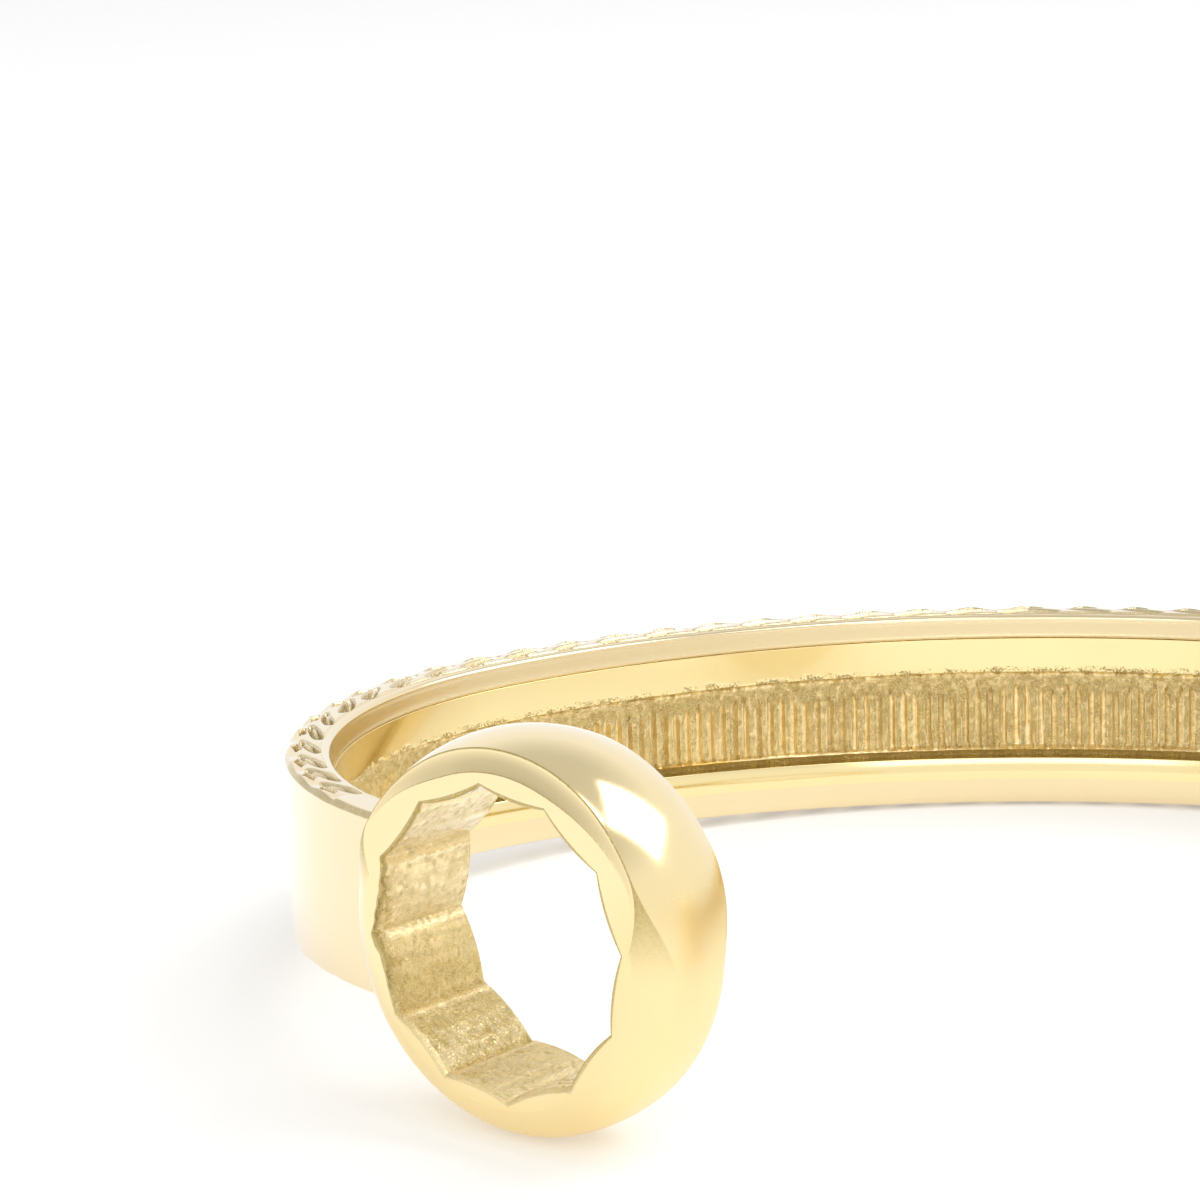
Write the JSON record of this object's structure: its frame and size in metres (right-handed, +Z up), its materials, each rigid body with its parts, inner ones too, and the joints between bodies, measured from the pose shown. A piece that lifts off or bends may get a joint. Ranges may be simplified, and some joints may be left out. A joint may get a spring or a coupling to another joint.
{
  "type": "bangle bracelet",
  "caption": "Open oval cuff bangle in yellow gold with a ring head and twelve-point socket at each end, engraved rims, polished rails and a ribbed cast inside.",
  "frame": {"origin": "centre of the footprint, on the surface that both heads and the back of the lower rim rest on", "axes": "+X across the oval to the wearer's right-hand head, +Y from the gap to the back of the band, +Z up"},
  "size_m": [0.068, 0.0538, 0.0167],
  "materials": {
    "polished_gold": "mirror-polished yellow gold",
    "engraved_gold": "polished relief over matted sunken ground",
    "inner_gold": "polished yellow gold",
    "cast_gold": "rough as cast, pitted",
    "head_gold": "mirror-polished yellow gold"
  },
  "bodies": {
    "root": {"outer_band": "polished_gold", "top_rim": "engraved_gold", "bottom_rim": "engraved_gold", "upper_inner_rail": "inner_gold", "lower_inner_rail": "inner_gold", "rib_liner": "cast_gold", "left_neck": "polished_gold", "left_head_ring": "head_gold", "left_socket": "cast_gold", "right_neck": "polished_gold", "right_head_ring": "head_gold", "right_socket": "cast_gold"}
  },
  "joints": []
}
